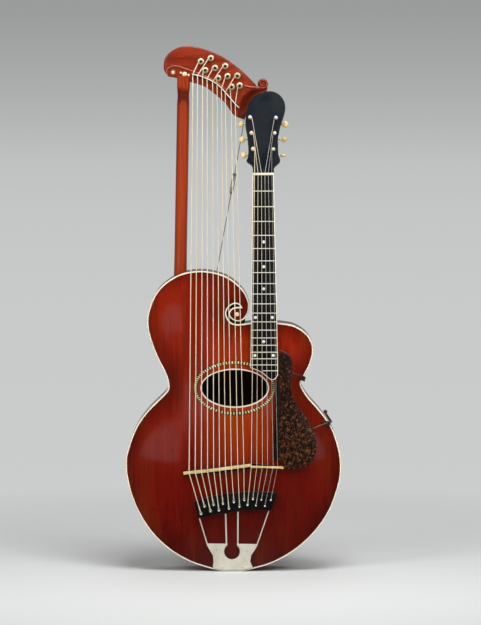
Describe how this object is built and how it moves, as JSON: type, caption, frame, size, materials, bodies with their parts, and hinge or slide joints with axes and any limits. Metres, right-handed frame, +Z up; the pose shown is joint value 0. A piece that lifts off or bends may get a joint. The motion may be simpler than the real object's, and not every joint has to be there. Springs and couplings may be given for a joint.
{
  "type": "harp guitar",
  "caption": "Carved-top harp guitar with a scroll, a six-string fretted neck and a pillar carrying a harp head of open sub-bass strings.",
  "frame": {"origin": "the middle of the flat at the tail end of the rim, which a stand or a wall holder bears on", "axes": "+Z runs up the strings from the tail to the heads, +Y points out of the back, and +X is the treble side, so the soundboard faces -Y"},
  "size_m": [0.4716, 0.1464, 1.1489],
  "materials": {
    "red_wood": "gloss",
    "arm_wood": "gloss",
    "black_wood": "satin",
    "black_face": "gloss",
    "cream_trim": "satin",
    "nickel": "satin",
    "cream_button": "gloss",
    "shell": "gloss",
    "wound_string": "satin",
    "plain_string": "bright",
    "steel_wire": "satin"
  },
  "bodies": {
    "instrument": {"soundboard": "red_wood", "back_plate": "red_wood", "rim": "red_wood", "top_binding": "cream_trim", "soundhole_ring": "cream_trim", "neck_block": "arm_wood", "tail_block": "arm_wood", "fingerboard": "black_wood", "nut": "cream_trim", "neck": "red_wood", "headstock_face": "black_face", "tuner_strip_bass": "nickel", "tuner_strip_treble": "nickel", "harp_head": "arm_wood", "sub_bass_nut": "cream_trim", "pillar": "arm_wood", "bridge_base": "black_wood", "bridge_saddle": "cream_trim", "pin_block": "black_wood", "tailpiece": "nickel", "pickguard": "shell", "stay_wire": "steel_wire", "sub_bass_string_1": "wound_string", "sub_bass_string_2": "wound_string", "sub_bass_string_3": "wound_string", "sub_bass_string_4": "wound_string", "sub_bass_string_5": "wound_string", "sub_bass_string_6": "wound_string", "sub_bass_string_7": "wound_string", "sub_bass_string_8": "wound_string", "sub_bass_string_9": "wound_string", "sub_bass_string_10": "wound_string", "neck_string_1": "wound_string", "neck_string_2": "wound_string", "neck_string_3": "wound_string", "neck_string_4": "plain_string", "neck_string_5": "plain_string", "neck_string_6": "plain_string"},
    "string_post_1": {"string_post_1": "nickel"},
    "tuner_button_1": {"tuner_button_1": "cream_button"},
    "string_post_2": {"string_post_2": "nickel"},
    "tuner_button_2": {"tuner_button_2": "cream_button"},
    "string_post_3": {"string_post_3": "nickel"},
    "tuner_button_3": {"tuner_button_3": "cream_button"},
    "string_post_4": {"string_post_4": "nickel"},
    "tuner_button_4": {"tuner_button_4": "cream_button"},
    "string_post_5": {"string_post_5": "nickel"},
    "tuner_button_5": {"tuner_button_5": "cream_button"},
    "string_post_6": {"string_post_6": "nickel"},
    "tuner_button_6": {"tuner_button_6": "cream_button"},
    "sub_bass_peg_1": {"sub_bass_peg_1": "nickel"},
    "sub_bass_peg_2": {"sub_bass_peg_2": "nickel"},
    "sub_bass_peg_3": {"sub_bass_peg_3": "nickel"},
    "sub_bass_peg_4": {"sub_bass_peg_4": "nickel"},
    "sub_bass_peg_5": {"sub_bass_peg_5": "nickel"},
    "sub_bass_peg_6": {"sub_bass_peg_6": "nickel"},
    "sub_bass_peg_7": {"sub_bass_peg_7": "nickel"},
    "sub_bass_peg_8": {"sub_bass_peg_8": "nickel"},
    "sub_bass_peg_9": {"sub_bass_peg_9": "nickel"},
    "sub_bass_peg_10": {"sub_bass_peg_10": "nickel"}
  },
  "joints": [
    {"name": "string_post_turn_1", "type": "hinge", "parent": "instrument", "child": "string_post_1", "pos_m": [0.0434, -0.04307, 0.92509], "axis": [0, -0.9816, 0.1908], "continuous": true},
    {"name": "tuner_button_turn_1", "type": "hinge", "parent": "instrument", "child": "tuner_button_1", "pos_m": [0.0434, -0.02534, 0.91095], "axis": [1, 0, 0], "continuous": true},
    {"name": "string_post_turn_2", "type": "hinge", "parent": "instrument", "child": "string_post_2", "pos_m": [0.0401, -0.03648, 0.95899], "axis": [0, -0.9816, 0.1908], "continuous": true},
    {"name": "tuner_button_turn_2", "type": "hinge", "parent": "instrument", "child": "tuner_button_2", "pos_m": [0.0401, -0.01875, 0.94485], "axis": [1, 0, 0], "continuous": true},
    {"name": "string_post_turn_3", "type": "hinge", "parent": "instrument", "child": "string_post_3", "pos_m": [0.037, -0.02987, 0.99299], "axis": [0, -0.9816, 0.1908], "continuous": true},
    {"name": "tuner_button_turn_3", "type": "hinge", "parent": "instrument", "child": "tuner_button_3", "pos_m": [0.037, -0.01214, 0.97884], "axis": [1, 0, 0], "continuous": true},
    {"name": "string_post_turn_4", "type": "hinge", "parent": "instrument", "child": "string_post_4", "pos_m": [0.0935, -0.03001, 0.99229], "axis": [0, -0.9816, 0.1908], "continuous": true},
    {"name": "tuner_button_turn_4", "type": "hinge", "parent": "instrument", "child": "tuner_button_4", "pos_m": [0.0935, -0.01228, 0.97815], "axis": [1, 0, 0], "continuous": true},
    {"name": "string_post_turn_5", "type": "hinge", "parent": "instrument", "child": "string_post_5", "pos_m": [0.0904, -0.03648, 0.95899], "axis": [0, -0.9816, 0.1908], "continuous": true},
    {"name": "tuner_button_turn_5", "type": "hinge", "parent": "instrument", "child": "tuner_button_5", "pos_m": [0.0904, -0.01875, 0.94485], "axis": [1, 0, 0], "continuous": true},
    {"name": "string_post_turn_6", "type": "hinge", "parent": "instrument", "child": "string_post_6", "pos_m": [0.0876, -0.04319, 0.92449], "axis": [0, -0.9816, 0.1908], "continuous": true},
    {"name": "tuner_button_turn_6", "type": "hinge", "parent": "instrument", "child": "tuner_button_6", "pos_m": [0.0876, -0.02546, 0.91034], "axis": [1, 0, 0], "continuous": true},
    {"name": "sub_bass_peg_turn_1", "type": "hinge", "parent": "instrument", "child": "sub_bass_peg_1", "pos_m": [-0.0701, -0.027, 1.1154], "axis": [0, -1, 0], "continuous": true},
    {"name": "sub_bass_peg_turn_2", "type": "hinge", "parent": "instrument", "child": "sub_bass_peg_2", "pos_m": [-0.0488, -0.027, 1.1224], "axis": [0, -1, 0], "continuous": true},
    {"name": "sub_bass_peg_turn_3", "type": "hinge", "parent": "instrument", "child": "sub_bass_peg_3", "pos_m": [-0.0609, -0.027, 1.0961], "axis": [0, -1, 0], "continuous": true},
    {"name": "sub_bass_peg_turn_4", "type": "hinge", "parent": "instrument", "child": "sub_bass_peg_4", "pos_m": [-0.0396, -0.027, 1.1011], "axis": [0, -1, 0], "continuous": true},
    {"name": "sub_bass_peg_turn_5", "type": "hinge", "parent": "instrument", "child": "sub_bass_peg_5", "pos_m": [-0.0173, -0.027, 1.1053], "axis": [0, -1, 0], "continuous": true},
    {"name": "sub_bass_peg_turn_6", "type": "hinge", "parent": "instrument", "child": "sub_bass_peg_6", "pos_m": [-0.0326, -0.027, 1.079], "axis": [0, -1, 0], "continuous": true},
    {"name": "sub_bass_peg_turn_7", "type": "hinge", "parent": "instrument", "child": "sub_bass_peg_7", "pos_m": [-0.0123, -0.027, 1.083], "axis": [0, -1, 0], "continuous": true},
    {"name": "sub_bass_peg_turn_8", "type": "hinge", "parent": "instrument", "child": "sub_bass_peg_8", "pos_m": [0.009, -0.027, 1.0841], "axis": [0, -1, 0], "continuous": true},
    {"name": "sub_bass_peg_turn_9", "type": "hinge", "parent": "instrument", "child": "sub_bass_peg_9", "pos_m": [-0.0034, -0.027, 1.0602], "axis": [0, -1, 0], "continuous": true},
    {"name": "sub_bass_peg_turn_10", "type": "hinge", "parent": "instrument", "child": "sub_bass_peg_10", "pos_m": [0.014, -0.027, 1.0628], "axis": [0, -1, 0], "continuous": true}
  ],
  "couplings": [
    {"joint": "string_post_turn_1", "follows": "tuner_button_turn_1", "ratio": 0.071429},
    {"joint": "string_post_turn_2", "follows": "tuner_button_turn_2", "ratio": 0.071429},
    {"joint": "string_post_turn_3", "follows": "tuner_button_turn_3", "ratio": 0.071429},
    {"joint": "string_post_turn_4", "follows": "tuner_button_turn_4", "ratio": -0.071429},
    {"joint": "string_post_turn_5", "follows": "tuner_button_turn_5", "ratio": -0.071429},
    {"joint": "string_post_turn_6", "follows": "tuner_button_turn_6", "ratio": -0.071429}
  ]
}
